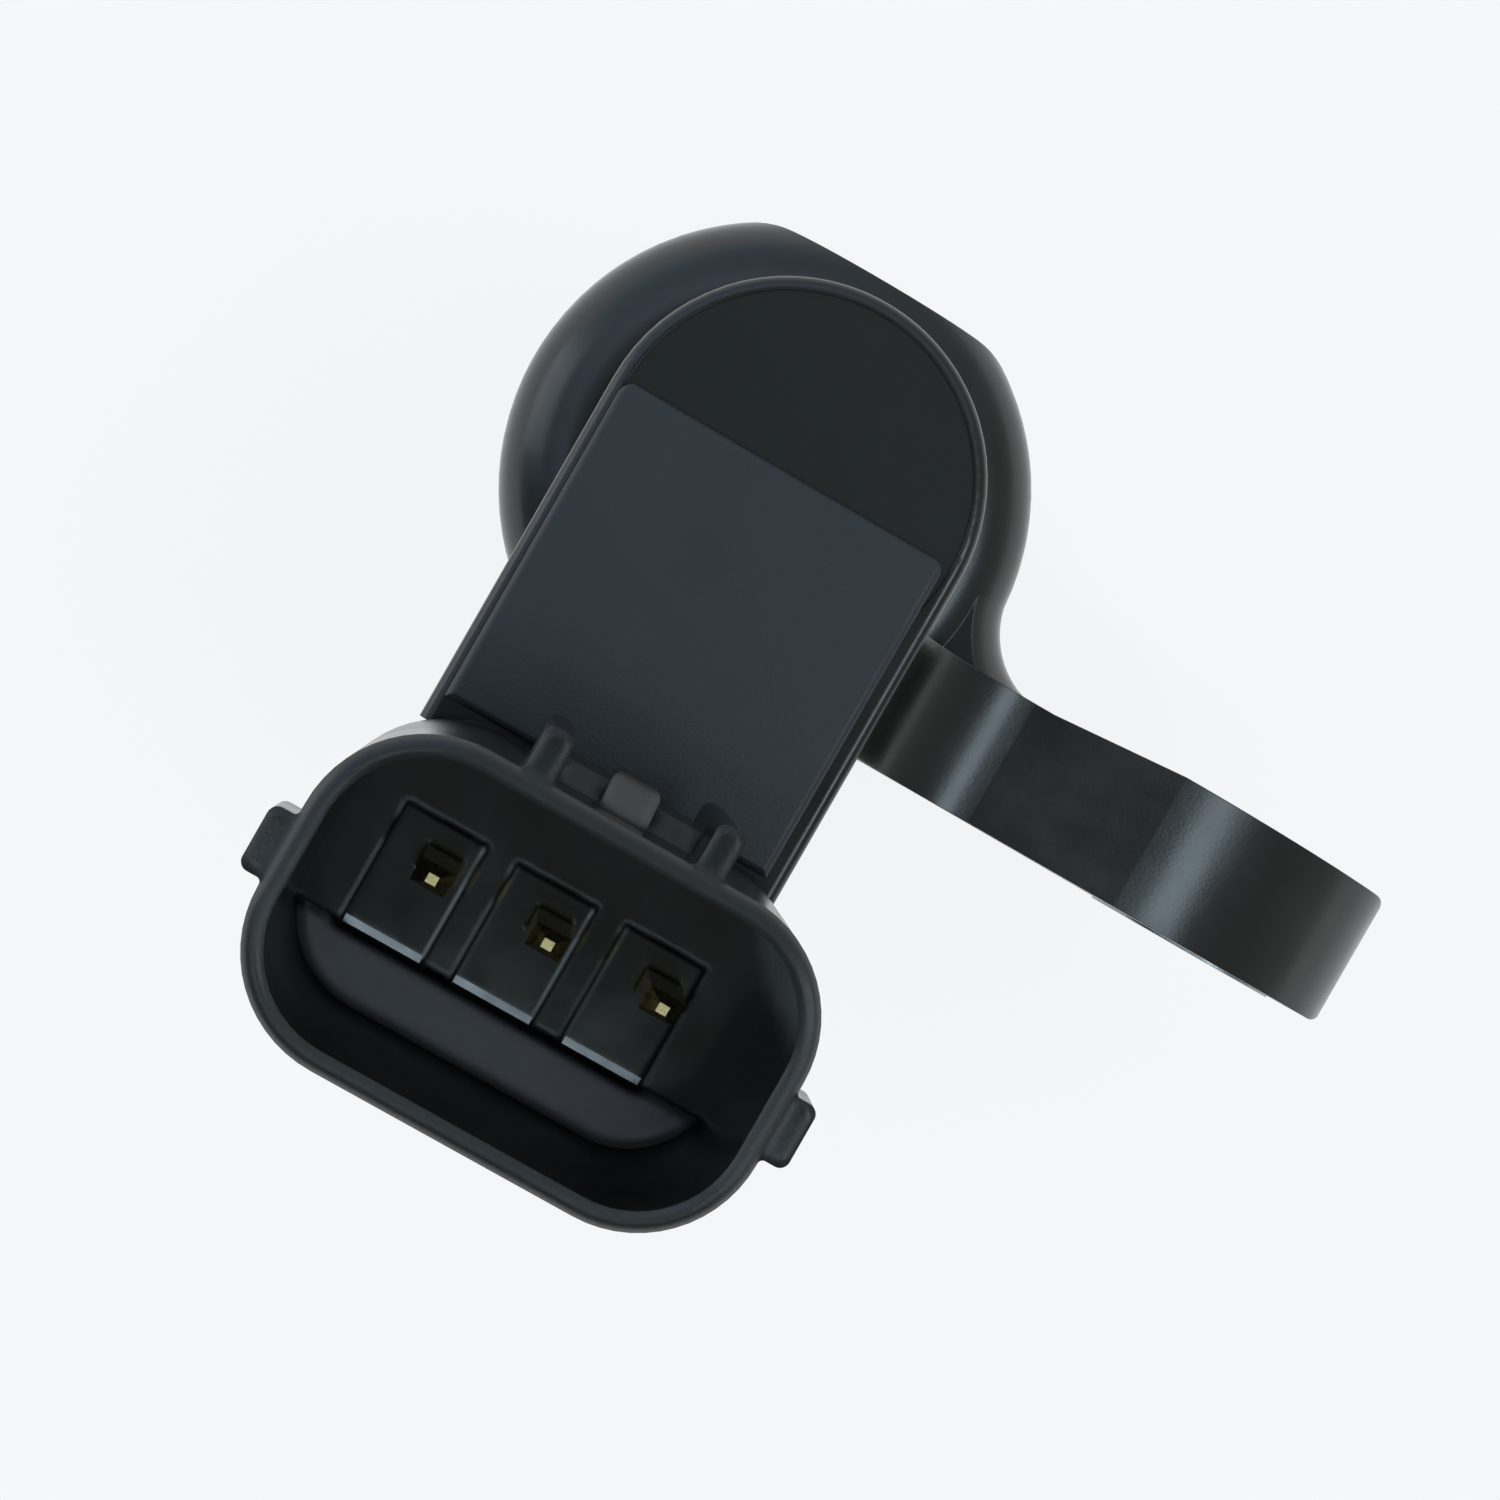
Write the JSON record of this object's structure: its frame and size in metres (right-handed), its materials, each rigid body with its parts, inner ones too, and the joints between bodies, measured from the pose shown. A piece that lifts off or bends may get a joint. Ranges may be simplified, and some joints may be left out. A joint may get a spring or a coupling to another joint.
{
  "type": "crankshaft position sensor",
  "caption": "Plug-in crankshaft sensor: sealed round barrel, flange with a flat, neck with cover plate, upright connector shroud with blade terminals, and a bolt ear with a steel bush.",
  "frame": {"origin": "centre of the flat sensing face at the nose of the barrel", "axes": "+Z along the barrel from the sensing face towards the connector rim, -Y along the neck towards the connector, +X towards the bolt ear"},
  "size_m": [0.0489, 0.0388, 0.0567],
  "materials": {
    "housing_plastic": "black moulded polyester, satin",
    "plate_plastic": "black moulded plastic, fine grain",
    "potting": "dark cast resin, dull",
    "insert_plastic": "black moulded plastic, satin",
    "terminal_metal": "plated brass",
    "bush_steel": "zinc plated, turned",
    "seal_rubber": "moulded rubber, dull",
    "carrier_plastic": "dark grey moulded plastic",
    "chip_body": "moulded epoxy",
    "lead_metal": "tinned copper alloy",
    "pole_steel": "bare steel",
    "magnet": "sintered magnet, plated",
    "board": "glass epoxy with green resist",
    "capacitor_body": "fired ceramic",
    "solder": "tin solder"
  },
  "bodies": {
    "root": {"housing": "housing_plastic", "cover_plate": "plate_plastic", "head_potting": "potting", "terminal_holder": "insert_plastic", "terminal_1": "terminal_metal", "terminal_2": "terminal_metal", "terminal_3": "terminal_metal", "ear_bush": "bush_steel", "o_ring": "seal_rubber", "carrier": "carrier_plastic", "hall_chip": "chip_body", "chip_lead_1": "lead_metal", "chip_lead_2": "lead_metal", "chip_lead_3": "lead_metal", "pole_plate": "pole_steel", "bias_magnet": "magnet", "circuit_board": "board", "capacitor_1": "capacitor_body", "capacitor_2": "capacitor_body", "lead_solder": "solder", "terminal_solder": "solder"}
  },
  "joints": []
}
